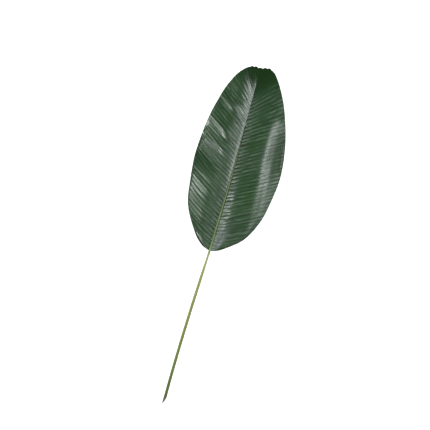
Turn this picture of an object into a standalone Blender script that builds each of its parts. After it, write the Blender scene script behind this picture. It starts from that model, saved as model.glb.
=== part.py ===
# A cut banana leaf lying on a surface with its upper side up. A thin green blade, pleated
# along its side veins, holds a pale stalk that runs on through it as the midrib.
# Metres, +Z up. The leaf points along +Y, from the stalk's cut end to the blade's tip.
import math

import bmesh
import bpy
import numpy as np

# Lengths along the leaf, counted from where the blade begins
STALK_LENGTH = 0.4215
BLADE_LENGTH = 0.499
RIB_LENGTH = 0.343
SLOT_LENGTH = 0.347
FAN_START = 0.470

# Sideways bow of the midrib inside the blade, and of the bare stalk, and how far the stalk stands
# to the right, up to where the midrib is back on the blade's middle
BLADE_BOW = 0.0031
BLADE_BOW_SPAN = 0.365
STALK_ASIDE = 0.0018
STALK_ASIDE_END = 0.09
STALK_BOW = 0.0062
STALK_BOW_SPAN = 0.620

# Edge of each half: distance along the leaf and distance out from the midrib
RIGHT_EDGE = (
    (0.000, 0.0045), (0.0055, 0.0185), (0.0213, 0.0415), (0.052, 0.0768), (0.105, 0.1045),
    (0.170, 0.1182), (0.242, 0.1248), (0.310, 0.1180), (0.380, 0.0985), (0.440, 0.0735),
    (0.478, 0.0523), (0.4935, 0.0408), (0.5030, 0.0262), (BLADE_LENGTH, 0.0),
)
LEFT_EDGE = (
    (0.001, 0.0045), (0.006, 0.0182), (0.021, 0.0378), (0.052, 0.0620), (0.105, 0.0910),
    (0.170, 0.1033), (0.242, 0.1092), (0.310, 0.1035), (0.380, 0.0892), (0.440, 0.0695),
    (0.478, 0.0465), (0.4935, 0.0295), (0.4978, 0.0195), (BLADE_LENGTH, 0.0),
)

# Pleats: rows run along the side veins, by turns on a crest and in a furrow. Each vein ends
# further up the edge than it starts on the midrib, and the last rows shape the scalloped tip
ROWS = 94
COLUMNS = 9
PLEAT_HEIGHT = 0.0006
PLEAT_MARGIN_LOSS = 0.6
PLEAT_TIP_LOSS = 0.4
PLEAT_TIP_FADE = (0.40, 0.06)
PLEAT_AT_RIB = 0.2
PLEAT_FULL_ACROSS = 0.06
VEIN_LEAD = 0.38
VEIN_BOW = 0.03
FIRST_SHARE = 0.035
SCALLOP_ROWS = 5
SCALLOP_DEPTH = 0.0015

# Blade thickness, the gap kept between blade and midrib, and the distance at which points merge
BLADE_THICKNESS = 0.0008
RIB_GAP = 0.0003
MERGE_DISTANCE = 0.00002

# Half widths of stalk and midrib, the arch over the surface, and the tip, which bends down and
# keeps falling a little past its end
STALK_RADIUS = 0.0040
RIB_RADIUS = 0.0030
RIB_TIP_RADIUS = 0.0005
ARCH_HEIGHT = 0.0167
ARCH_TOP = 0.060
TIP_BEND_START = 0.425
TIP_HEIGHT = 0.0060
TIP_OVERRUN = 1.1
BLADE_LIFT = 0.0005

# Valley beside the midrib: slope at the base and further up, width at the base and further up,
# and the stretches along the leaf over which it opens, turns, widens and closes
RIGHT_VALLEY = (0.54, 0.27, 0.044, 0.050)
LEFT_VALLEY = (0.12, 0.31, 0.026, 0.044)
VALLEY_OPENING = (0.0, 0.04)
VALLEY_TURN = (0.12, 0.10)
VALLEY_WIDENING = (0.10, 0.26)
VALLEY_CLOSING = (0.43, 0.04)
VALLEY_AT_BASE = 0.62
VALLEY_AT_TIP = 0.2

# Bends towards each margin: where each starts and ends out from the midrib, the slope it adds,
# where along the leaf it starts to fade and over what length
RIGHT_BENDS = ((0.058, 0.080, 0.28, 0.300, 0.055), (0.088, 0.102, 0.18, 0.29, 0.06))
LEFT_BENDS = ((0.031, 0.060, 0.26, 0.34, 0.13),)
# The right bends stand further out near the base and closer to the midrib further up
BENDS_OUT_AT_BASE = 0.007
BENDS_OUT_FADE = (0.0, 0.15)
BENDS_IN_ABOVE = 0.012
BENDS_IN_RISE = (0.24, 0.14)
BODY_FADE_START = 0.34

# Each margin levels out: start and end in from the edge, and the slope taken off
RIGHT_LIP = (0.017, 0.008, 0.15)
LEFT_LIP = (0.0075, 0.0035, 0.18)

# Long waves of each margin: height, length along the leaf, and the hollow that rests on the surface
RIGHT_WAVE = (0.0056, 0.240, 0.225)
LEFT_WAVE = (0.0070, 0.170, 0.205)
WAVE_AT_BASE = 0.35
WAVE_OPENING = 0.10
MARGIN_LIFT = 0.20

# Each margin lies flat on the surface at its hollow: half length, run-out, and place across,
# with a crown of a few hundredths of a millimetre, so that one point takes the weight
REST_LENGTH = 0.012
REST_CROWN = 0.00003
REST_RUN_OUT = 0.026
REST_ACROSS = (0.80, 0.12)

# Folds that run along the side veins: start on the midrib, width, height
RIGHT_FOLDS = ((0.060, 0.020, 0.0020), (0.300, 0.030, 0.0015))
LEFT_FOLDS = (
    (0.064, 0.020, 0.0010), (0.155, 0.026, 0.0050), (0.243, 0.011, 0.0018),
    (0.283, 0.013, 0.0036), (0.347, 0.011, 0.0044),
)
FOLD_FULL_ACROSS = 0.8

# Sides and rings of the stalk, the swelling where the blade begins, the channel on top of
# the stalk, the keel below it, and the slanted cut that closes it
STALK_SIDES = 12
RING_PLACES = np.concatenate([
    np.linspace(-STALK_LENGTH, -0.020, 25), np.linspace(-0.016, 0.0, 5), np.linspace(0.017, RIB_LENGTH, 20),
])
SWELLING = 0.18
SWELLING_PLACE = -0.007
SWELLING_WIDTH = 0.005
STALK_TAPER = 0.08
RIB_TAPER = 1.15
CROWN_HEIGHT = 0.95
KEEL_DEPTH = 1.15
CHANNEL_DEPTH = 0.0006
CHANNEL_WIDTH = 0.35
CUT_LENGTH = 0.022
CUT_FADE = 0.090
CUT_SIDE = 0.75
CUT_UP = 0.66

BLADE_COLOUR = (0.035, 0.090, 0.035)
STALK_COLOUR = (0.30, 0.36, 0.13)
BLADE_ROUGHNESS = 0.40
STALK_ROUGHNESS = 0.50


def clamp(value, low=0.0, high=1.0):
    return max(low, min(high, value))


def smooth_step(value):
    value = clamp(value)
    return value * value * (3.0 - 2.0 * value)


def ramp(value, start, length):
    return smooth_step((value - start) / length)


def bend(t):
    """Level before 0, rising ever faster up to 1, and with an even slope of 1 beyond."""
    t = max(0.0, t)
    return t ** 3 - 0.5 * t ** 4 if t < 1.0 else t - 0.5


def clear_scene():
    for old in list(bpy.data.objects):
        bpy.data.objects.remove(old, do_unlink=True)


def curve_through(points, steps=10):
    """Dense points of a smooth cubic through the given points."""
    points = np.array(points)
    knots = np.concatenate([[0.0], np.cumsum(np.linalg.norm(np.diff(points, axis=0), axis=1))])
    slopes = np.gradient(points, knots, axis=0)
    dense = []
    for index in range(len(points) - 1):
        span = knots[index + 1] - knots[index]
        for step in range(steps):
            t = step / steps
            start = (1 + 2 * t) * (1 - t) ** 2 * points[index] + t * (1 - t) ** 2 * span * slopes[index]
            end = t * t * (3 - 2 * t) * points[index + 1] + t * t * (t - 1) * span * slopes[index + 1]
            dense.append(start + end)
    dense.append(points[-1])
    return np.array(dense)


def edge_table(points):
    """The edge as dense points with each one's share of the edge's length."""
    dense = curve_through(points)
    lengths = np.concatenate([[0.0], np.cumsum(np.linalg.norm(np.diff(dense, axis=0), axis=1))])
    return lengths / lengths[-1], dense


def bow(y):
    """Sideways place of the midrib or stalk at a distance along the leaf."""
    aside = STALK_ASIDE * (1.0 - ramp(y, 0.0, STALK_ASIDE_END))
    if y >= 0.0:
        return aside + BLADE_BOW * math.sin(math.pi * y / BLADE_BOW_SPAN)
    return aside + STALK_BOW * math.sin(math.pi * y / STALK_BOW_SPAN)


def arch(y):
    """Height of the stalk's and midrib's centre line."""
    rise = smooth_step((y + STALK_LENGTH) / (ARCH_TOP + STALK_LENGTH))
    height = STALK_RADIUS * KEEL_DEPTH + (ARCH_HEIGHT - STALK_RADIUS) * rise
    fall = clamp((y - TIP_BEND_START) / (BLADE_LENGTH - TIP_BEND_START), 0.0, TIP_OVERRUN)
    return height - (height - TIP_HEIGHT) * fall ** 2


def rib_half_width(y):
    """Half width of the midrib, or of the stalk below the blade."""
    if y < 0.0:
        width = RIB_RADIUS + (STALK_RADIUS - RIB_RADIUS) * smooth_step(-y / STALK_TAPER)
        return width * (1.0 + SWELLING * math.exp(-((y - SWELLING_PLACE) / SWELLING_WIDTH) ** 2))
    return RIB_RADIUS + (RIB_TIP_RADIUS - RIB_RADIUS) * clamp(y / RIB_LENGTH) ** RIB_TAPER


def valley_height(side, out, start):
    """Rise of the blade out of the valley beside the midrib."""
    low_slope, high_slope, low_width, high_width = RIGHT_VALLEY if side > 0 else LEFT_VALLEY
    slope = low_slope + (high_slope - low_slope) * ramp(start, *VALLEY_TURN)
    width = low_width + (high_width - low_width) * ramp(start, *VALLEY_WIDENING)
    width *= VALLEY_AT_BASE + (1.0 - VALLEY_AT_BASE) * ramp(start, *VALLEY_OPENING)
    depth = 1.0 - (1.0 - VALLEY_AT_TIP) * ramp(start, *VALLEY_CLOSING)
    return slope * width * depth * (out / width - bend(out / width))


def margin_fall(side, out, start):
    """Fall of the blade past its bends."""
    if side > 0:
        out += BENDS_IN_ABOVE * ramp(start, *BENDS_IN_RISE)
        out -= BENDS_OUT_AT_BASE * (1.0 - ramp(start, *BENDS_OUT_FADE))
    fall = 0.0
    for bend_start, bend_end, slope, fade, fade_length in RIGHT_BENDS if side > 0 else LEFT_BENDS:
        length = bend_end - bend_start
        fall += slope * length * bend((out - bend_start) / length) * (1.0 - ramp(start, fade, fade_length))
    return fall


def lip_rise(side, inward):
    """Rise of the margin where it levels out, at a distance in from the edge."""
    lip_start, lip_end, slope = RIGHT_LIP if side > 0 else LEFT_LIP
    length = lip_start - lip_end
    return slope * length * bend((lip_start - inward) / length)


def wave_height(side, across, start):
    """Long wave of the margin, which lifts away from the hollow that rests on the surface."""
    height, length, hollow = RIGHT_WAVE if side > 0 else LEFT_WAVE
    opening = WAVE_AT_BASE + (1.0 - WAVE_AT_BASE) * smooth_step(start / WAVE_OPENING)
    swing = math.cos(2.0 * math.pi * (start - hollow) / length)
    return (MARGIN_LIFT * (start - hollow) ** 2 - height * swing * opening) * across ** 2


def fold_height(side, across, start):
    """Folds along the side veins, higher further out."""
    profile = smooth_step(across / FOLD_FULL_ACROSS)
    folds = RIGHT_FOLDS if side > 0 else LEFT_FOLDS
    return profile * sum(rise * math.exp(-((start - centre) / width) ** 2) for centre, width, rise in folds)


def pleat_height(across, start, row):
    """Crests and furrows by turns, lower towards the margin, the tip and the midrib."""
    size = PLEAT_HEIGHT * clamp(across / PLEAT_FULL_ACROSS, PLEAT_AT_RIB, 1.0)
    size *= 1.0 - PLEAT_MARGIN_LOSS * smooth_step(across)
    size *= 1.0 - PLEAT_TIP_LOSS * ramp(start, *PLEAT_TIP_FADE)
    return size if row % 2 == 0 else -size


def blade_height(side, x, y, across, start, row, half_width):
    """Height of the blade's upper face: side is 1 on the right, -1 on the left."""
    out = abs(x - bow(y))
    body = 1.0 - ramp(start, BODY_FADE_START, FAN_START - BODY_FADE_START)
    height = arch(y) + BLADE_LIFT + valley_height(side, out, start)
    lip = lip_rise(side, half_width * (1.0 - across))
    height += (wave_height(side, across, start) + lip) * body - margin_fall(side, out, start)
    height += fold_height(side, across, start) + pleat_height(across, start, row)
    hollow = (RIGHT_WAVE if side > 0 else LEFT_WAVE)[2]
    rest = (1.0 - ramp(abs(start - hollow), REST_LENGTH, REST_RUN_OUT)) * ramp(across, *REST_ACROSS)
    crown = REST_CROWN * (((start - hollow) / REST_LENGTH) ** 2 + (1.0 - across) / REST_ACROSS[1])
    return height + (BLADE_THICKNESS + crown - height) * rest


def blade_point(side, table, row, column):
    """A point of one half: rows run from the midrib to the edge, columns along the leaf."""
    shares, edge = table
    place = row / ROWS
    across = 0.5 * column / COLUMNS + 0.25 * (1.0 - math.cos(math.pi * column / COLUMNS))
    start = FAN_START * place
    share = place + VEIN_LEAD * math.sqrt(place) * (1.0 - place) ** 2
    share = FIRST_SHARE + (1.0 - FIRST_SHARE) * share
    end_y = float(np.interp(share, shares, edge[:, 0]))
    end_out = float(np.interp(share, shares, edge[:, 1]))
    start_out = rib_half_width(start) + RIB_GAP if start < SLOT_LENGTH else 0.0
    if row > ROWS - SCALLOP_ROWS:
        end_y += SCALLOP_DEPTH if row % 2 == 0 else -SCALLOP_DEPTH
    sag = VEIN_BOW * 4.0 * across * (1.0 - across) * (1.0 - place)
    y = start + (end_y - start) * across - sag * end_out
    x = bow(y) + side * (start_out + (end_out - start_out) * across)
    return x, y, blade_height(side, x, y, across, start, row, end_out)


def make_blade(collection):
    """Both halves as grids whose rows follow the veins, joined past the midrib's end."""
    mesh = bmesh.new()
    for side, points in ((1, RIGHT_EDGE), (-1, LEFT_EDGE)):
        half = bmesh.new()
        bmesh.ops.create_grid(half, x_segments=COLUMNS, y_segments=ROWS, size=0.5)
        table = edge_table(points)
        for vertex in half.verts:
            column = round((vertex.co.x + 0.5) * COLUMNS)
            row = round((vertex.co.y + 0.5) * ROWS)
            vertex.co = blade_point(side, table, row, column)
        if side < 0:
            bmesh.ops.reverse_faces(half, faces=half.faces)
        piece = bpy.data.meshes.new("half")
        half.to_mesh(piece)
        half.free()
        mesh.from_mesh(piece)
        bpy.data.meshes.remove(piece)
    bmesh.ops.remove_doubles(mesh, verts=mesh.verts, dist=MERGE_DISTANCE)
    data = bpy.data.meshes.new("leaf_blade")
    mesh.to_mesh(data)
    mesh.free()
    blade = bpy.data.objects.new("leaf_blade", data)
    collection.objects.link(blade)
    split = blade.modifiers.new("triangles", "TRIANGULATE")
    split.quad_method = "BEAUTY"
    shell = blade.modifiers.new("thickness", "SOLIDIFY")
    shell.thickness = BLADE_THICKNESS
    shell.offset = -1.0
    shell.use_even_offset = True
    shell.use_rim = True
    return blade


def stalk_point(y, corner):
    """A point of the stalk's skin: the first rings lean along the slanted cut."""
    angle = 2.0 * math.pi * corner / STALK_SIDES
    half_width = rib_half_width(y)
    side = half_width * math.cos(angle)
    up = half_width * math.sin(angle) * (KEEL_DEPTH if angle > math.pi else CROWN_HEIGHT)
    if up > 0.0:
        bare = 1.0 - ramp(y, -STALK_LENGTH, STALK_LENGTH + RIB_LENGTH)
        up -= CHANNEL_DEPTH * bare * math.exp(-(math.cos(angle) / CHANNEL_WIDTH) ** 2)
    lean = CUT_LENGTH * (1.0 - ramp(y, -STALK_LENGTH, CUT_FADE))
    slant = lean * 0.5 * (1.0 + (CUT_SIDE * side + CUT_UP * up) / half_width)
    return bow(y) + side, y + slant, arch(y) + up


def make_stalk(collection):
    """A tube mapped on the stalk's path, closed by its slanted cut and by the midrib's fine end."""
    mesh = bmesh.new()
    rings = len(RING_PLACES) - 1
    bmesh.ops.create_grid(mesh, x_segments=STALK_SIDES, y_segments=rings, size=0.5)
    for vertex in mesh.verts:
        corner = round((vertex.co.x + 0.5) * STALK_SIDES)
        ring = round((vertex.co.y + 0.5) * rings)
        vertex.co = stalk_point(float(RING_PLACES[ring]), corner % STALK_SIDES)
    bmesh.ops.remove_doubles(mesh, verts=mesh.verts, dist=MERGE_DISTANCE)
    bmesh.ops.holes_fill(mesh, edges=[edge for edge in mesh.edges if edge.is_boundary], sides=STALK_SIDES)
    bmesh.ops.recalc_face_normals(mesh, faces=mesh.faces)
    data = bpy.data.meshes.new("leaf_stalk")
    mesh.to_mesh(data)
    mesh.free()
    stalk = bpy.data.objects.new("leaf_stalk", data)
    collection.objects.link(stalk)
    return stalk


def paint(item, name, colour, roughness):
    """Give an object its own plain material."""
    material = bpy.data.materials.new(name)
    material.use_nodes = True
    shader = material.node_tree.nodes["Principled BSDF"]
    shader.inputs["Base Color"].default_value = (*colour, 1.0)
    shader.inputs["Roughness"].default_value = roughness
    shader.inputs["Metallic"].default_value = 0.0
    item.data.materials.append(material)


def centre_on_box(items):
    """Move the meshes so that the leaf's box is centred on the origin and stands on it."""
    bpy.context.view_layer.update()
    graph = bpy.context.evaluated_depsgraph_get()
    corners = []
    for item in items:
        shape = item.evaluated_get(graph).data
        corners.extend(vertex.co.copy() for vertex in shape.vertices)
    low = [min(corner[axis] for corner in corners) for axis in range(3)]
    high = [max(corner[axis] for corner in corners) for axis in range(3)]
    shift = (-(low[0] + high[0]) / 2.0, -(low[1] + high[1]) / 2.0, -low[2])
    for item in items:
        for vertex in item.data.vertices:
            vertex.co = [vertex.co[axis] + shift[axis] for axis in range(3)]
        item.data.update()


def main():
    clear_scene()
    leaf = bpy.data.collections.new("banana_leaf")
    bpy.context.scene.collection.children.link(leaf)
    blade = make_blade(leaf)
    stalk = make_stalk(leaf)
    paint(blade, "leaf_green", BLADE_COLOUR, BLADE_ROUGHNESS)
    paint(stalk, "stalk_green", STALK_COLOUR, STALK_ROUGHNESS)
    stalk.data.shade_smooth()
    centre_on_box((blade, stalk))


main()
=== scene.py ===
# A cut banana leaf lying on a pale studio floor, seen from straight above.
import math

import bmesh
import bpy
import numpy as np
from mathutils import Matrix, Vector, noise


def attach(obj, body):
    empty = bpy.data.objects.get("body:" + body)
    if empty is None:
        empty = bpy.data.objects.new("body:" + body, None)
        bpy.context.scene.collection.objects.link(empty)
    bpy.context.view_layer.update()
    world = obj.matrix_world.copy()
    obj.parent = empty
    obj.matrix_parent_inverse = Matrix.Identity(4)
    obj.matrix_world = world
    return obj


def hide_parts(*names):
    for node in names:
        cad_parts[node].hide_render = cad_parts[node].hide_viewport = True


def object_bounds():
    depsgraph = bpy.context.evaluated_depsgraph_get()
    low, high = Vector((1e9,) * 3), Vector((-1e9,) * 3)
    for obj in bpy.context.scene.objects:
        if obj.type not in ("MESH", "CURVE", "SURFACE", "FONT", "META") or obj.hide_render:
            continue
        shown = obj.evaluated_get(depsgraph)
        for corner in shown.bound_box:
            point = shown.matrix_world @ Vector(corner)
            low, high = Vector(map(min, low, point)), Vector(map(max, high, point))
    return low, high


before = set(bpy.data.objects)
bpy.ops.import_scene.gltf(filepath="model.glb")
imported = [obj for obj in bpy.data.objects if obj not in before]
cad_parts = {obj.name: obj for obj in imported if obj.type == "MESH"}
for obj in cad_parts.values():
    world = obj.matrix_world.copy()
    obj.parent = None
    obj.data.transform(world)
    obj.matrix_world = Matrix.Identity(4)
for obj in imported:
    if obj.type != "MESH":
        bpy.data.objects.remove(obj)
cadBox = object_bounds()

# Lengths in metres. The leaf's own frame starts where the blade begins, with y along the leaf
leaf = {
    "stalkLength": 0.4215,
    "bladeLength": 0.499,
    "ribLength": 0.343,
    "slotLength": 0.347,  # the blade's halves stand apart this far for the midrib
    "fanStart": 0.470,  # the last side veins leave the midline here
    "thickness": 0.0008,
    "bladeBow": 0.0031,  # sideways bow of the midrib
    "bladeBowSpan": 0.365,
    "stalkAside": 0.0018,  # the stalk stands a little to the right
    "stalkAsideEnd": 0.09,
    "stalkBow": 0.0062,
    "stalkBowSpan": 0.620,
    "archHeight": 0.0167,
    "archTop": 0.060,
    "tipBendStart": 0.425,
    "tipBendLimit": 1.1,  # times the way to the tip, for the scallops past it
    "tipHeight": 0.0060,
    "bladeLift": 0.0005,  # of the blade over the midrib's centre line
    "cutReach": 0.0005,  # of the slanted cut past the stalk's length
}


# Shader sockets that take Python's operators
class Wire:
    def __init__(self, paint, socket):
        self.paint = paint
        self.socket = socket

    def maths(self, operation, *others):
        sockets = dict(enumerate((self, *others)))
        return self.paint.node("ShaderNodeMath", {"operation": operation}, sockets)

    def __add__(self, other):
        return self.maths("ADD", other)

    def __radd__(self, other):
        return self.maths("ADD", other)

    def __sub__(self, other):
        return self.maths("SUBTRACT", other)

    def __rsub__(self, other):
        return self.maths("MULTIPLY_ADD", -1.0, other)

    def __mul__(self, other):
        return self.maths("MULTIPLY", other)

    def above(self, low, high):  # 0 below low, 1 above high, smooth in between
        sockets = {"Value": self, "From Min": low, "From Max": high, "To Min": 0.0, "To Max": 1.0}
        return self.paint.node("ShaderNodeMapRange", {"interpolation_type": "SMOOTHSTEP"}, sockets)

    def below(self, low, high):  # 1 below low, 0 above high
        return 1 - self.above(low, high)


class Paint:
    def __init__(self, name, **fixed):
        self.material = bpy.data.materials.new(name)
        self.material.use_nodes = True
        self.tree = self.material.node_tree
        self.shader = self.tree.nodes["Principled BSDF"]
        self.feed(**fixed)

    def feed(self, **values):
        for socket, value in values.items():
            self.join(self.shader.inputs[socket.replace("_", " ")], value)

    def join(self, target, value):
        if isinstance(value, Wire):
            self.tree.links.new(value.socket, target)
        else:
            target.default_value = value

    def node(self, kind, settings, sockets, out=0):
        made = self.tree.nodes.new(kind)
        for name, value in settings.items():
            if name == "stops":
                setStops(made.color_ramp, value)
            else:
                setattr(made, name, value)
        for key, value in sockets.items():
            self.join(made.inputs[key], value)
        return Wire(self, made.outputs[out])

    def mix(self, factor, first, second, blend="MIX"):
        settings = {"data_type": "RGBA", "blend_type": blend}
        return self.node("ShaderNodeMix", settings, {0: factor, 6: tint(first), 7: tint(second)}, out=2)

    def noise(self, vector, scale, detail=3.0, roughness=0.55):
        sockets = {"Vector": vector, "Scale": scale, "Detail": detail, "Roughness": roughness}
        return self.node("ShaderNodeTexNoise", {}, sockets)

    def vector(self, x, y, z):
        return self.node("ShaderNodeCombineXYZ", {}, {0: x, 1: y, 2: z})

    def split(self, vector):
        made = self.tree.nodes.new("ShaderNodeSeparateXYZ")
        self.join(made.inputs[0], vector)
        return [Wire(self, out) for out in made.outputs]

    def place(self):
        return self.node("ShaderNodeTexCoord", {}, {}, out=3)

    def grid(self, name):
        return self.node("ShaderNodeUVMap", {"uv_map": name}, {})

    def bump(self, height, strength, distance):
        sockets = {"Height": height, "Strength": strength, "Distance": distance}
        return self.node("ShaderNodeBump", {}, sockets)


def setStops(colourRamp, stops):
    while len(colourRamp.elements) > 1:
        colourRamp.elements.remove(colourRamp.elements[-1])
    colourRamp.elements[0].position = stops[0][0]
    colourRamp.elements[0].color = tint(stops[0][1])
    for place, colour in stops[1:]:
        colourRamp.elements.new(place).color = tint(colour)


def tint(colour):  # a colour gets its fourth value, a wire stays
    return (*colour, 1.0) if isinstance(colour, tuple) and len(colour) == 3 else colour


# Curves and ramps
def clamp(value, low=0.0, high=1.0):
    return max(low, min(high, value))


def smoothStep(value):
    value = clamp(value)
    return value * value * (3.0 - 2.0 * value)


def ramp(value, start, length):
    return smoothStep((value - start) / length)


def growth(value, share, start, length):  # that share up to the start, then rising to 1
    return share + (1.0 - share) * ramp(value, start, length)


def bend(t):  # level before 0, an even slope of 1 after 1
    t = max(0.0, t)
    return t ** 3 - 0.5 * t ** 4 if t < 1.0 else t - 0.5


def lengthsAlong(points):
    return np.concatenate([[0.0], np.cumsum(np.linalg.norm(np.diff(points, axis=0), axis=1))])


def curveThrough(points, steps):  # a smooth cubic through the points
    points = np.array(points)
    knots = lengthsAlong(points)
    slopes = np.gradient(points, knots, axis=0)
    dense = []
    for index in range(len(points) - 1):
        span = knots[index + 1] - knots[index]
        for step in range(steps):
            t = step / steps
            start = (1 + 2 * t) * (1 - t) ** 2 * points[index] + t * (1 - t) ** 2 * span * slopes[index]
            end = t * t * (3 - 2 * t) * points[index + 1] + t * t * (t - 1) * span * slopes[index + 1]
            dense.append(start + end)
    dense.append(points[-1])
    return np.array(dense)


# Shape of the leaf
stalk = {
    "radius": 0.0040,
    "taper": 0.08,  # the stalk narrows to the midrib over this length
    "ribRadius": 0.0030,
    "ribTipRadius": 0.0005,
    "ribTaperPower": 1.15,
    "sides": 28,
    "rings": 340,
    "mergeDistance": 0.000005,
    "swelling": 0.18,  # where the blade begins, as a share of the half width
    "swellingPlace": -0.007,
    "swellingWidth": 0.005,
    "channelDepth": 0.0006,
    "channelWidth": 0.35,  # of the half width
    "topDepth": 0.95,  # of the half width, above the centre line
    "keelDepth": 1.15,  # and below it
    "cutLength": 0.022,
    "cutFade": 0.090,
    "cutSlant": (0.75, 0.66),  # to the side and upwards
}

blade = {
    "rightEdge": (  # way along and distance out of the margin, from the base to the middle of the tip
        (0.000, 0.0045), (0.0055, 0.0185), (0.0213, 0.0415), (0.052, 0.0768), (0.105, 0.1045),
        (0.170, 0.1182), (0.242, 0.1248), (0.310, 0.1180), (0.380, 0.0985), (0.440, 0.0735),
        (0.478, 0.0523), (0.4935, 0.0408), (0.5030, 0.0262), (0.499, 0.0),
    ),
    "leftEdge": (
        (0.001, 0.0045), (0.006, 0.0182), (0.021, 0.0378), (0.052, 0.0620), (0.105, 0.0910),
        (0.170, 0.1033), (0.242, 0.1092), (0.310, 0.1035), (0.380, 0.0892), (0.440, 0.0695),
        (0.478, 0.0465), (0.4935, 0.0295), (0.4978, 0.0195), (0.499, 0.0),
    ),
    "edgeSteps": 24,  # between two points of an edge
    "pleatRows": 94,  # crest and furrow rows together
    "rowSplit": 6,  # fine rows in each pleat row
    "columns": 40,
    "crowding": 0.5,  # 0 for even columns, 1 for columns crowded at the midrib and the margin
    "ribOverlap": 0.0001,  # of the blade under the midrib's side
    "mergeDistance": 0.00001,
    "pleatNearRib": {1: 0.00062, -1: 0.00008},  # height on the right and on the left
    "pleatFurtherOut": {1: 0.00012, -1: 0.00016},
    "pleatChange": {1: (0.09, 0.12), -1: (0.06, 0.25)},  # start and length across
    "pleatAtBase": (0.25, 0.0, 0.075),  # on the right: share at the base, start and length of its rise
    "pleatRise": 0.025,  # the pleats rise from nothing over this share of the way across
    "pleatEnd": (0.40, 0.06),  # where they fade towards the tip and over what length
    "pleatSection": 0.6,  # size of the crest and of the furrow in a pleat's section
    "furrowWidth": 0.30,  # of a pleat row
    "wander": {"steps": (0.37, 1.2), "seed": 11.0, "middle": 0.0, "size": 0.75},  # of a vein, in rows
    "uneven": {"steps": (0.45, 2.5), "seed": 3.0, "middle": 0.8, "size": 0.9},  # factor on the pleats
    "patches": {"steps": (0.16, 3.0), "seed": 5.0, "middle": 0.9, "size": 1.6},  # a second, wider one
    "patchLimits": (0.15, 1.5),
    "streaks": {"steps": (1.0, 1.6), "seed": 7.0, "middle": 0.0, "size": 1.0},
    "streakHeight": {1: 0.00022, -1: 0.00042},  # uneven ridges along the veins
    "streakLength": 0.0075,
    "streakAcross": (0.06, 0.25),  # start and length of their rise across
    "streakAtBase": (0.3, 0.05, 0.05),
    "veinLead": 0.38,
    "veinBow": 0.03,
    "baseShare": 0.035,
    "scallopDepth": 0.0015,
    "scallopRows": 5.5,  # the last rows, whose ends are scalloped
    "scallopPower": 0.85,
    "rightValley": (0.54, 0.27, 0.044, 0.050),  # slopes and widths beside the midrib, low and high
    "leftValley": (0.12, 0.31, 0.026, 0.044),
    "valleyTurn": (0.12, 0.10),  # where along the leaf the slopes change, and over what length
    "valleyWidening": (0.10, 0.26),
    "valleyClosing": (0.43, 0.04, 0.8),  # where the valley gets shallow, over what length, by what share
    "valleyAtBase": (0.62, 0.0, 0.04),
    "rightBends": (  # start and end out from the midrib, slope, where it fades and over what length
        (0.058, 0.080, 0.28, 0.300, 0.055), (0.088, 0.102, 0.18, 0.29, 0.06),
    ),
    "leftBends": ((0.031, 0.060, 0.26, 0.34, 0.13),),
    "bendOutward": (0.007, 0.15),  # shift of the right bends at the base, and where it ends
    "bendInward": (0.012, 0.24, 0.14),  # their shift further up, where it starts and over what length
    "bodyFadeStart": 0.34,
    "rightWave": (0.0056, 0.240, 0.225),  # height, length and a hollow's place
    "leftWave": (0.0070, 0.170, 0.205),
    "waveAtBase": (0.35, 0.0, 0.10),
    "marginLift": 0.20,  # rise of the margins with the square of the distance from that hollow
    "rest": (0.008, 0.045, 0.90, 0.06),  # flat margin at that hollow: half length, run-out, and both across
    "lip": {  # the margin levels out: from and to in from the edge, slope taken off
        1: (0.017, 0.008, 0.15), -1: (0.0075, 0.0035, 0.18),
    },
    "leftFolds": (  # crest's start on the midrib, width, rise
        (0.064, 0.020, 0.0010), (0.122, 0.011, 0.0011), (0.155, 0.026, 0.0050), (0.241, 0.011, 0.0028),
        (0.283, 0.013, 0.0034), (0.347, 0.011, 0.0044),
    ),
    "rightFolds": (
        (0.060, 0.020, 0.0020), (0.300, 0.030, 0.0015),
    ),
    "foldRise": 0.8,  # the folds are full at this share of the way across
}


def edgeTable(points):
    dense = curveThrough(points, blade["edgeSteps"])
    lengths = lengthsAlong(dense)
    return lengths / lengths[-1], dense


def bow(y):
    aside = leaf["stalkAside"] * (1.0 - ramp(y, 0.0, leaf["stalkAsideEnd"]))
    if y >= 0.0:
        return aside + leaf["bladeBow"] * math.sin(math.pi * y / leaf["bladeBowSpan"])
    return aside + leaf["stalkBow"] * math.sin(math.pi * y / leaf["stalkBowSpan"])


def arch(y):  # height of the centre line of stalk and midrib
    rise = smoothStep((y + leaf["stalkLength"]) / (leaf["archTop"] + leaf["stalkLength"]))
    height = stalk["radius"] * stalk["keelDepth"] + (leaf["archHeight"] - stalk["radius"]) * rise
    fall = (y - leaf["tipBendStart"]) / (leaf["bladeLength"] - leaf["tipBendStart"])
    return height - (height - leaf["tipHeight"]) * clamp(fall, 0.0, leaf["tipBendLimit"]) ** 2


def ribHalfWidth(y):
    if y < 0.0:
        width = stalk["ribRadius"] + (stalk["radius"] - stalk["ribRadius"]) * smoothStep(-y / stalk["taper"])
        bulge = math.exp(-((y - stalk["swellingPlace"]) / stalk["swellingWidth"]) ** 2)
        return width * (1.0 + stalk["swelling"] * bulge)
    taper = clamp(y / leaf["ribLength"]) ** stalk["ribTaperPower"]
    return stalk["ribRadius"] + (stalk["ribTipRadius"] - stalk["ribRadius"]) * taper


def ofSide(name, side):  # the right or the left half's own value
    return blade[("right" if side > 0 else "left") + name]


def scallop(row):  # 1 on a crest, -1 in a furrow, rounded between
    return 2.0 * abs(math.cos(math.pi * row / 2.0)) ** blade["scallopPower"] - 1.0


def pleat(row):  # a rounded crest with a narrow furrow on each side
    aside = abs((row % 2.0) - 1.0) / blade["furrowWidth"]
    size = blade["pleatSection"]
    return size * math.cos(math.pi * row) - size * math.exp(-aside * aside)


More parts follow.
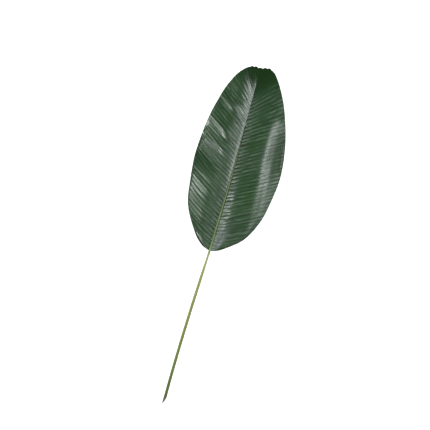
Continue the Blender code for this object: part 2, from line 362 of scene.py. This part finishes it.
def valleyHeight(side, out, start):  # rise of the blade out of the valley beside the midrib
    lowSlope, highSlope, lowWidth, highWidth = ofSide("Valley", side)
    slope = lowSlope + (highSlope - lowSlope) * ramp(start, *blade["valleyTurn"])
    width = lowWidth + (highWidth - lowWidth) * ramp(start, *blade["valleyWidening"])
    closing, closingLength, lost = blade["valleyClosing"]
    depth = 1.0 - lost * ramp(start, closing, closingLength)
    width *= growth(start, *blade["valleyAtBase"])
    return slope * width * depth * (out / width - bend(out / width))


def marginFall(side, out, start):
    fall = 0.0
    if side > 0:
        outward, outwardEnd = blade["bendOutward"]
        inward, inwardStart, inwardLength = blade["bendInward"]
        out += inward * ramp(start, inwardStart, inwardLength)
        out -= outward * (1.0 - ramp(start, 0.0, outwardEnd))
    for bendStart, bendEnd, slope, fade, fadeLength in ofSide("Bends", side):
        length = bendEnd - bendStart
        fall += slope * length * bend((out - bendStart) / length) * (1.0 - ramp(start, fade, fadeLength))
    return fall


def waveHeight(side, across, start):
    height, length, hollow = ofSide("Wave", side)
    swing = math.cos(2.0 * math.pi * (start - hollow) / length)
    swing = height * swing * growth(start, *blade["waveAtBase"])
    return (blade["marginLift"] * (start - hollow) ** 2 - swing) * across ** 2


def foldHeight(side, across, start):
    profile = smoothStep(across / blade["foldRise"])
    folds = ofSide("Folds", side)
    return profile * sum(rise * math.exp(-((start - centre) / width) ** 2) for centre, width, rise in folds)


def sample(name, side, along, across):  # one of the blade's noises
    facts = blade[name]
    alongStep, acrossStep = facts["steps"]
    place = Vector((alongStep * along, acrossStep * across, side * facts["seed"]))
    return facts["middle"] + facts["size"] * noise.noise(place)


def wander(side, row, across):  # the veins don't stand evenly
    return sample("wander", side, row, across)


def pleatHeight(side, across, start, row):
    near, further = blade["pleatNearRib"][side], blade["pleatFurtherOut"][side]
    size = near + (further - near) * ramp(across, *blade["pleatChange"][side])
    size *= clamp(across / blade["pleatRise"])
    if side > 0:
        size *= growth(start, *blade["pleatAtBase"])
    uneven = sample("uneven", side, row, across)
    uneven *= clamp(sample("patches", side, row, across), *blade["patchLimits"])
    streak = sample("streaks", side, start / blade["streakLength"], across)
    streak *= blade["streakHeight"][side] * ramp(across, *blade["streakAcross"])
    streak *= growth(start, *blade["streakAtBase"])
    return (size * pleat(row) * uneven + streak) * (1.0 - ramp(start, *blade["pleatEnd"]))


def lipRise(side, inward):
    first, last, slope = blade["lip"][side]
    return slope * (first - last) * bend((first - inward) / (first - last))


def bladeHeight(side, x, y, across, start, row, halfWidth):
    out = abs(x - bow(y))
    body = 1.0 - ramp(start, blade["bodyFadeStart"], leaf["fanStart"] - blade["bodyFadeStart"])
    height = arch(y) + leaf["bladeLift"] + valleyHeight(side, out, start)
    lip = lipRise(side, halfWidth * (1.0 - across))
    height += (waveHeight(side, across, start) + lip) * body - marginFall(side, out, start)
    vein = row + wander(side, row, across)
    height += foldHeight(side, across, start) + pleatHeight(side, across, start, vein)
    restLength, runOut, restAcross, blend = blade["rest"]
    hollow = ofSide("Wave", side)[2]
    rest = (1.0 - ramp(abs(start - hollow), restLength, runOut)) * ramp(across, restAcross, blend)
    return height + (leaf["thickness"] - height) * rest


def bladePoint(side, table, row, across):
    shares, edge = table
    place = row / blade["pleatRows"]
    start = leaf["fanStart"] * place
    share = place + blade["veinLead"] * math.sqrt(place) * (1.0 - place) ** 2
    share = blade["baseShare"] + (1.0 - blade["baseShare"]) * share
    endY = float(np.interp(share, shares, edge[:, 0]))
    endOut = float(np.interp(share, shares, edge[:, 1]))
    endY += blade["scallopDepth"] * scallop(row) * smoothStep(row - blade["pleatRows"] + blade["scallopRows"])
    startOut = ribHalfWidth(start) - blade["ribOverlap"] if start < leaf["slotLength"] else 0.0
    sag = blade["veinBow"] * 4.0 * across * (1.0 - across) * (1.0 - place)
    y = start + (endY - start) * across - sag * endOut
    x = bow(y) + side * (startOut + (endOut - startOut) * across)
    return Vector((x, y, bladeHeight(side, x, y, across, start, row, endOut)))


# Where the blade begins, in the frame's metres
cadLow, cadHigh = [Vector(corner) for corner in cadBox]
halfWidths = [max(point[1] + side * bow(point[0]) for point in ofSide("Edge", side)) for side in (1, -1)]
baseX = (cadLow.x + cadHigh.x) / 2.0 - (halfWidths[0] - halfWidths[1]) / 2.0
baseY = cadLow.y + leaf["stalkLength"] + leaf["cutReach"]
leafBase = Vector((baseX, baseY, 0.0))
print("stage 1: frame read, blade begins at", tuple(round(value, 5) for value in leafBase))


def addPiece(name, mesh, *materials):
    data = bpy.data.meshes.new(name)
    mesh.to_mesh(data)
    mesh.free()
    piece = bpy.data.objects.new(name, data)
    bpy.context.scene.collection.objects.link(piece)
    for material in materials:
        data.materials.append(material)
    data.shade_smooth()
    return piece


def makeGrid(columns, rows):  # one unit wide and long, its middle at the origin
    mesh = bmesh.new()
    bmesh.ops.create_grid(mesh, x_segments=columns, y_segments=rows, size=0.5)
    return mesh


def gridShares(place):  # from 0 to 1 along the columns and the rows
    return place.x + 0.5, place.y + 0.5


def spread(column):  # columns stand closer at the midrib and at the margin
    crowding = blade["crowding"]
    return (1.0 - crowding) * column + crowding * 0.5 * (1.0 - math.cos(math.pi * column))


def makeBlade(materials):
    whole = bmesh.new()
    for side in (1, -1):
        half = makeGrid(blade["columns"], blade["pleatRows"] * blade["rowSplit"])
        layer = half.loops.layers.uv.new("veins")
        for face in half.faces:
            for loop in face.loops:
                column, along = gridShares(loop.vert.co)
                row = along * blade["pleatRows"]
                row += wander(side, row, spread(column))
                loop[layer].uv = (side * column, row / blade["pleatRows"])
        table = edgeTable(ofSide("Edge", side))
        for vertex in half.verts:
            column, along = gridShares(vertex.co)
            vertex.co = leafBase + bladePoint(side, table, along * blade["pleatRows"], spread(column))
        if side < 0:
            bmesh.ops.reverse_faces(half, faces=half.faces)
        part = bpy.data.meshes.new("half")
        half.to_mesh(part)
        half.free()
        whole.from_mesh(part)
        bpy.data.meshes.remove(part)
    bmesh.ops.remove_doubles(whole, verts=whole.verts, dist=blade["mergeDistance"])
    piece = addPiece("leafBlade", whole, *materials)
    shell = piece.modifiers.new("thickness", "SOLIDIFY")
    shell.thickness = leaf["thickness"]
    shell.offset = -1.0
    shell.use_even_offset = True
    shell.material_offset = 1
    shell.material_offset_rim = 2
    return piece


def stalkPoint(y, angle):
    halfWidth = ribHalfWidth(y)
    side = halfWidth * math.cos(angle)
    up = halfWidth * math.sin(angle) * (stalk["keelDepth"] if math.sin(angle) < 0.0 else stalk["topDepth"])
    bare = 1.0 - smoothStep((y + leaf["stalkLength"]) / (leaf["stalkLength"] + leaf["ribLength"]))
    if up > 0.0:
        up -= stalk["channelDepth"] * bare * math.exp(-(math.cos(angle) / stalk["channelWidth"]) ** 2)
    lean = stalk["cutLength"] * (1.0 - smoothStep((y + leaf["stalkLength"]) / stalk["cutFade"]))
    slantSide, slantUp = stalk["cutSlant"]
    slant = lean * 0.5 * (1.0 + (slantSide * side + slantUp * up) / halfWidth)
    return Vector((bow(y) + side, y + slant, arch(y) + up))


def makeStalk(materials):
    sides = stalk["sides"]
    mesh = makeGrid(sides, stalk["rings"])
    for vertex in mesh.verts:
        around, along = gridShares(vertex.co)
        corner = round(around * sides) % sides
        y = -leaf["stalkLength"] + (leaf["stalkLength"] + leaf["ribLength"]) * along
        vertex.co = leafBase + stalkPoint(y, 2.0 * math.pi * corner / sides)
    bmesh.ops.remove_doubles(mesh, verts=mesh.verts, dist=stalk["mergeDistance"])
    ends = bmesh.ops.holes_fill(mesh, edges=[edge for edge in mesh.edges if edge.is_boundary], sides=sides)
    bmesh.ops.recalc_face_normals(mesh, faces=mesh.faces)
    for face in ends["faces"]:
        if face.calc_center_median().y < leafBase.y:
            face.material_index = 1
    piece = addPiece("leafStalk", mesh, *materials)
    for polygon in piece.data.polygons:
        polygon.use_smooth = polygon.material_index == 0
    return piece


# Finishes
upperSkin = {
    "greens": ((0.0120, 0.039, 0.0120), (0.0215, 0.056, 0.020)),
    "coats": {  # colour, strength, and how much stronger where a second mask is 1
        "fresh": ((0.010, 0.048, 0.006), 0.70),
        # light crest lines: a paler vein tone, with painted glints on the pleat crests
        "veinLinesAndGlints": ((0.098, 0.155, 0.095), 0.66, 0.25),
        "threads": ((0.070, 0.118, 0.066), 0.55),
        "shade": ((0.004, 0.024, 0.004), 0.90),
        # painted shade: the pleat furrows coloured darker, where shade falls
        "shadedFurrows": ((0.002, 0.013, 0.002), 0.82, 0.15),
        # painted highlight on the pleat crests and painted shade in their furrows, as short dashes
        "crestGlintDashes": ((0.105, 0.150, 0.110), 0.55),
        "furrowShadeDashes": ((0.001, 0.005, 0.001), 0.85),
        # painted shade: the blade darker towards the tip
        "tip": ((0.003, 0.023, 0.001), 0.88),
        # painted sheen: a bluish grey highlight band left of the midrib
        "paintedSheen": ((0.070, 0.080, 0.090), 0.15),
        # painted sheen: a bluish grey highlight patch right of the midrib near the base
        "paintedBaseSheen": ((0.070, 0.082, 0.088), 0.15, 0.40),
        # painted shadow: a dark line along both sides of the midrib
        "ribShadow": ((0.004, 0.012, 0.005), 0.60),
        # painted shadow: a near-black line along the right side of the midrib
        "grooveShadow": ((0.002, 0.004, 0.003), 0.90),
        # painted highlight: a pale line along the margin
        "edge": ((0.13, 0.16, 0.11), 0.50),
    },
    "clouds": {"cloud": (9.0, 4.0), "patch": (28.0, 3.0), "fresh": (5.0, 2.0)},  # scale and detail
    "grains": {  # steps across and for two pleat rows, seed, detail and roughness
        "streaks": (3.0, 1.3, 0.0, 4.0, 0.70),
        "fine": (5.0, 4.0, 3.0, 3.0, 0.55),
        "even": (5.0, 0.35, 6.0, 2.0, 0.55),
        "threads": (2.5, 7.0, 8.0, 2.0, 0.55),
    },
    "zones": {  # where each fades in and out: across from -1 on the left to 1, out from 0, along from 0 to 1
        "paintedSheen": {"across": ((-0.13, -0.05), (-0.0005, 0.0005)), "along": ((0.30, 0.62), None)},
        "paintedBaseSheen": {"along": (None, (0.06, 0.20)), "across": ((0.02, 0.05), (0.25, 0.55))},
        "veined": {"along": (None, (0.80, 0.92))},
        "nearRib": {"out": (None, (0.03, 0.30))},
        "rightDashes": {"across": ((0.010, 0.030), (0.24, 0.50)), "along": (None, (0.86, 0.93))},
        "outerDashes": {"across": ((0.10, 0.24), None)},
        "highDashes": {"along": ((0.55, 0.80), None)},
        "leftDashes": {"across": ((-0.26, -0.12), (-0.030, -0.010)), "along": ((0.03, 0.08), (0.33, 0.42))},
        "tip": {"along": ((0.82, 0.95), None)},
        "ribShadow": {"out": (None, (0.004, 0.030))},
        "grooveShadow": {
            "out": (None, (0.014, 0.030)), "across": ((0.0, 0.0002), None), "along": (None, (0.70, 0.84)),
        },
        "edge": {"out": ((0.985, 0.998), None)},
        "leftBand": {"across": ((-0.48, -0.30), (-0.17, -0.08)), "along": (None, (0.66, 0.82))},
        "outerRight": {"across": ((0.68, 0.82), None), "along": (None, (0.60, 0.78))},
    },
    "roughness": 0.205,
    "roughnessChanges": {
        "cloud": 0.06, "shadedFurrows": 0.09, "fine": 0.10, "grooveShadow": 0.40, "leftBand": 0.16, "tip": -0.07,
        "outerRight": 0.13,
    },
}


def veinAxes(paint):  # across, along, pairs of pleat rows, and 1 on a vein's crest and 0 in its furrow
    across, along, _ = paint.split(paint.grid("veins"))
    row = along * (blade["pleatRows"] / 2.0)
    return across, along, row, (row * math.pi).maths("COSINE").maths("ABSOLUTE")


def grain(paint, across, row, acrossStep, rowStep, seed, detail, roughness):
    return paint.noise(paint.vector(across * acrossStep, row * rowStep, seed), 1.0, detail, roughness)


def leafUpper():
    paint = Paint("leafUpper", Specular_IOR_Level=0.5)
    across, along, row, crest = veinAxes(paint)
    axes = {"across": across, "along": along, "out": across.maths("ABSOLUTE")}

    def zone(name):
        mask = None
        for axis, (rise, fall) in upperSkin["zones"][name].items():
            steps = [axes[axis].above(*rise)] if rise else []
            steps += [axes[axis].below(*fall)] if fall else []
            for step in steps:
                mask = step if mask is None else mask * step
        return mask

    def coat(under, name, mask, second=None):
        colour, strength, *more = upperSkin["coats"][name]
        if second is not None:
            strength = strength + second * more[0]
        return paint.mix(mask * strength, under, colour)

    place = paint.place()
    cloud, patch, fresh = [paint.noise(place, *facts) for facts in upperSkin["clouds"].values()]
    streaks, fine, even, threads = [
        grain(paint, across, row, *facts) for facts in upperSkin["grains"].values()]
    paintedSheen = zone("paintedSheen")
    nearRib = zone("nearRib")
    grooveShadow = zone("grooveShadow")
    tip = zone("tip")
    shadedFurrows = crest.below(0.05, 0.55)
    # The vein lines with their painted glints and the painted furrow shade show less at the tip, in the
    # painted sheen band and in smooth spells
    veined = zone("veined") * (1 - paintedSheen * 0.75) * (0.30 + even.above(0.36, 0.56) * 0.70)
    veinLinesAndGlints = crest.above(0.45, 0.95) * (0.10 + streaks.above(0.40, 0.58)) * veined
    shade = fine.above(0.44, 0.62) * (0.55 + patch * 0.5) * veined
    # Pairs of a painted highlight on a crest and painted shade in its furrow, beside the midrib and on the
    # left half
    dashes = zone("rightDashes") * (1 - zone("outerDashes") * (1 - zone("highDashes") * 0.5))
    dashes = (dashes + zone("leftDashes") * 0.8) * (0.45 + streaks.above(0.35, 0.60) * 0.55)

    green = paint.mix(cloud.above(0.3, 0.7), *upperSkin["greens"])
    green = coat(green, "fresh", fresh.above(0.50, 0.62))
    # painted glints: the pleat crests coloured lighter, partly their own paler vein tone
    green = coat(green, "veinLinesAndGlints", veinLinesAndGlints, nearRib)
    green = coat(green, "threads", threads.above(0.52, 0.66) * veined)
    green = coat(green, "shade", shade)
    # painted shade in the pleat furrows
    green = coat(green, "shadedFurrows", shadedFurrows * veined, nearRib)
    # painted highlight on the crests, then painted shade in the furrows
    green = coat(green, "crestGlintDashes", dashes * crest.above(0.55, 0.95))
    green = coat(green, "furrowShadeDashes", dashes * crest.below(0.15, 0.70))
    # painted shade at the tip
    green = coat(green, "tip", tip)
    # painted sheen on the band left of the midrib
    green = coat(green, "paintedSheen", paintedSheen)
    # painted sheen at the base, right of the midrib
    green = coat(green, "paintedBaseSheen", zone("paintedBaseSheen"), streaks.above(0.40, 0.60))
    # painted shadow beside the midrib
    green = coat(green, "ribShadow", zone("ribShadow"))
    # painted shadow along the midrib's right side
    green = coat(green, "grooveShadow", grooveShadow)
    # painted highlight along the margin
    green = coat(green, "edge", zone("edge"))

    masks = {
        "cloud": cloud, "shadedFurrows": shadedFurrows, "fine": fine.above(0.40, 0.62), "grooveShadow": grooveShadow,
        "leftBand": zone("leftBand"), "tip": tip, "outerRight": zone("outerRight"),
    }
    roughness = upperSkin["roughness"]
    for name, change in upperSkin["roughnessChanges"].items():
        roughness = roughness + masks[name] * change
    normal = paint.bump(fine * 0.6 + streaks * 0.4, 0.12, 0.0001)
    paint.feed(Base_Color=green, Roughness=roughness, Normal=normal)
    return paint.material


underSkin = {
    "greens": ((0.075, 0.135, 0.065), (0.105, 0.170, 0.090)),
    "threads": (0.065, 0.120, 0.055),
    "ridges": (0.15, 0.21, 0.11),
    "grain": (5.0, 14.0, 5.0, 2.0, 0.55),  # as on the upper side
    "margin": ((0.10, 0.13, 0.07), (0.18, 0.19, 0.12)),
}


def leafUnder():
    paint = Paint("leafUnder", Specular_IOR_Level=0.4)
    across, _, row, crest = veinAxes(paint)
    ridges = crest.below(0.0, 0.35)
    cloud = paint.noise(paint.place(), 12.0, 4.0)
    fine = grain(paint, across, row, *underSkin["grain"])
    green = paint.mix(cloud.above(0.3, 0.7), *underSkin["greens"])
    green = paint.mix(fine.above(0.4, 0.8) * 0.3, green, underSkin["threads"])
    green = paint.mix(ridges * 0.5, green, underSkin["ridges"])
    normal = paint.bump(ridges * 0.6 + fine * 0.4, 0.4, 0.0005)
    paint.feed(Base_Color=green, Roughness=0.55 + fine * 0.15, Normal=normal)
    return paint.material


def leafMargin():
    paint = Paint("leafMargin", Specular_IOR_Level=0.4)
    mottle = paint.noise(paint.place(), 220.0)
    colour = paint.mix(mottle.above(0.35, 0.7), *underSkin["margin"])
    normal = paint.bump(mottle, 0.3, 0.0003)
    paint.feed(Base_Color=colour, Roughness=0.5 + mottle * 0.2, Normal=normal)
    return paint.material


stalkColours = {
    "stops": (  # from the cut end at 0 to the midrib's end at 1
        (0.00, (0.055, 0.065, 0.020)), (0.05, (0.070, 0.095, 0.010)), (0.15, (0.105, 0.140, 0.014)),
        (0.25, (0.145, 0.180, 0.028)), (0.36, (0.185, 0.215, 0.050)), (0.46, (0.235, 0.265, 0.085)),
        (0.535, (0.27, 0.31, 0.13)), (0.56, (0.150, 0.210, 0.070)), (0.60, (0.095, 0.160, 0.035)),
        (0.66, (0.122, 0.178, 0.050)), (0.80, (0.114, 0.160, 0.048)), (0.92, (0.086, 0.124, 0.042)),
        (1.00, (0.038, 0.070, 0.028)),
    ),
    "fibres": (0.80, 0.84, 0.72),
    "mottle": (0.62, 0.68, 0.52),
    "cells": ((0.055, 0.055, 0.030), (0.13, 0.13, 0.07)),
    "stain": (0.06, 0.045, 0.025),
}


def stalkSkin():
    paint = Paint("stalkSkin", Specular_IOR_Level=0.45)
    x, y, z = paint.split(paint.place())
    low = leafBase.y - leaf["stalkLength"]
    high = leafBase.y + leaf["ribLength"]
    along = (y - low) * (1.0 / (high - low))
    colour = paint.node("ShaderNodeValToRGB", {"stops": stalkColours["stops"]}, {"Fac": along})
    fibres = paint.noise(paint.vector(x * 900.0, y * 30.0, z * 900.0), 1.0)
    mottle = paint.noise(paint.vector(x * 60.0, y * 22.0, z * 60.0), 1.0)
    colour = paint.mix(fibres.above(0.35, 0.7) * 0.35, colour, stalkColours["fibres"], "MULTIPLY")
    colour = paint.mix(mottle.above(0.52, 0.70) * 0.45, colour, stalkColours["mottle"], "MULTIPLY")
    normal = paint.bump(fibres, 0.25, 0.0003)
    paint.feed(Base_Color=colour, Roughness=0.42 + fibres * 0.15, Normal=normal)
    return paint.material


def cutFace():
    paint = Paint("cutFace", Specular_IOR_Level=0.3)
    place = paint.place()
    cells = paint.node("ShaderNodeTexVoronoi", {}, {"Vector": place, "Scale": 1400.0})
    stain = paint.noise(place, 500.0)
    colour = paint.mix(cells.above(0.1, 0.5), *stalkColours["cells"])
    colour = paint.mix(stain.above(0.45, 0.65) * 0.6, colour, stalkColours["stain"])
    normal = paint.bump(cells, 0.5, 0.0003)
    paint.feed(Base_Color=colour, Roughness=0.7 + stain * 0.1, Normal=normal)
    return paint.material


bladePiece = makeBlade((leafUpper(), leafUnder(), leafMargin()))
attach(bladePiece, "root")
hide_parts("leaf_blade")
print("stage 2: blade", len(bladePiece.data.polygons), "faces before its thickness")

stalkPiece = makeStalk((stalkSkin(), cutFace()))
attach(stalkPiece, "root")
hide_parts("leaf_stalk")
print("stage 3: stalk and midrib", len(stalkPiece.data.polygons), "faces")


# Studio
studio = {
    "photoSide": 430,  # pixels
    "metresPerPixel": 0.002625,
    "basePixel": (209.0, 250.5),  # where the blade begins in the photograph
    "leanDegrees": 16.15,
    "cameraHeight": 2.6,
    "scaleHeight": 0.018,  # over the floor, where that scale holds
    "sensorWidth": 36.0,  # millimetres
    "floorSize": 14.0,
    "floorShades": ((0.88, 0.88, 0.88), (0.91, 0.91, 0.91)),
    "white": (1.0, 1.0, 1.0, 1.0),
    "lights": {  # place right of, up along and above the middle of the view
        "rightLight": {"place": (1.22, 0.35, 1.95), "size": (2.0, 0.53), "watts": 35.0,
                       "colour": (0.95, 0.98, 1.0)},
        "leftLight": {"place": (-1.15, -0.86, 2.00), "size": (0.76, 0.65), "watts": 35.0,
                      "colour": (0.96, 1.0, 0.97)},
        "lowLight": {"place": (-2.10, 0.0, 1.55), "size": (1.8, 0.50), "watts": 17.5,
                     "colour": (0.95, 0.98, 1.0)},
    },
    "skyStrength": 0.18,
    "floorGlow": 0.72,
}


def makeFloor():
    mesh = bmesh.new()
    bmesh.ops.create_grid(mesh, x_segments=8, y_segments=8, size=studio["floorSize"] / 2.0)
    paint = Paint("paleFloor", Roughness=0.9, Specular_IOR_Level=0.1)
    speckle = paint.noise(paint.place(), 40.0, 2.0)
    paint.feed(Base_Color=paint.mix(speckle, *studio["floorShades"]))
    paint.feed(Emission_Color=studio["white"], Emission_Strength=studio["floorGlow"])
    floor = addPiece("floor", mesh, paint.material)


def addLight(name, facts):
    light = bpy.data.lights.new(name, "AREA")
    light.shape = "RECTANGLE"
    light.size, light.size_y = facts["size"]  # level side, then the side that leans towards the leaf
    light.energy = facts["watts"]
    light.color = facts["colour"]
    lamp = bpy.data.objects.new(name, light)
    lamp.location = viewCentre + Vector(facts["place"])
    aim = viewCentre - lamp.location
    lamp.rotation_euler = aim.to_track_quat("-Z", "Y").to_euler()
    bpy.context.scene.collection.objects.link(lamp)


def addCamera():
    camera = bpy.data.cameras.new("camera")
    width = studio["photoSide"] * studio["metresPerPixel"]
    camera.sensor_width = studio["sensorWidth"]
    camera.lens = camera.sensor_width * (studio["cameraHeight"] - studio["scaleHeight"]) / width
    eye = bpy.data.objects.new("camera", camera)
    eye.location = viewCentre + Vector((0.0, 0.0, studio["cameraHeight"]))
    eye.rotation_euler = (0.0, 0.0, math.radians(studio["leanDegrees"]))
    bpy.context.scene.collection.objects.link(eye)
    bpy.context.scene.camera = eye


def middleOfView():  # the floor point under the photograph's middle pixel
    lean = math.radians(studio["leanDegrees"])
    stepX = studio["photoSide"] / 2.0 - studio["basePixel"][0]
    stepY = studio["basePixel"][1] - studio["photoSide"] / 2.0
    along = stepX * math.sin(lean) + stepY * math.cos(lean)
    across = stepX * math.cos(lean) - stepY * math.sin(lean)
    return leafBase + Vector((across, along, 0.0)) * studio["metresPerPixel"]


viewCentre = middleOfView()
makeFloor()
for name, facts in studio["lights"].items():
    addLight(name, facts)
addCamera()
sky = bpy.data.worlds.new("sky")
sky.use_nodes = True
skyInputs = sky.node_tree.nodes["Background"].inputs
skyInputs["Color"].default_value = studio["white"]
skyInputs["Strength"].default_value = studio["skyStrength"]
bpy.context.scene.world = sky
bpy.context.scene.view_settings.view_transform = "Standard"
print("stage 4: floor, lights and camera")
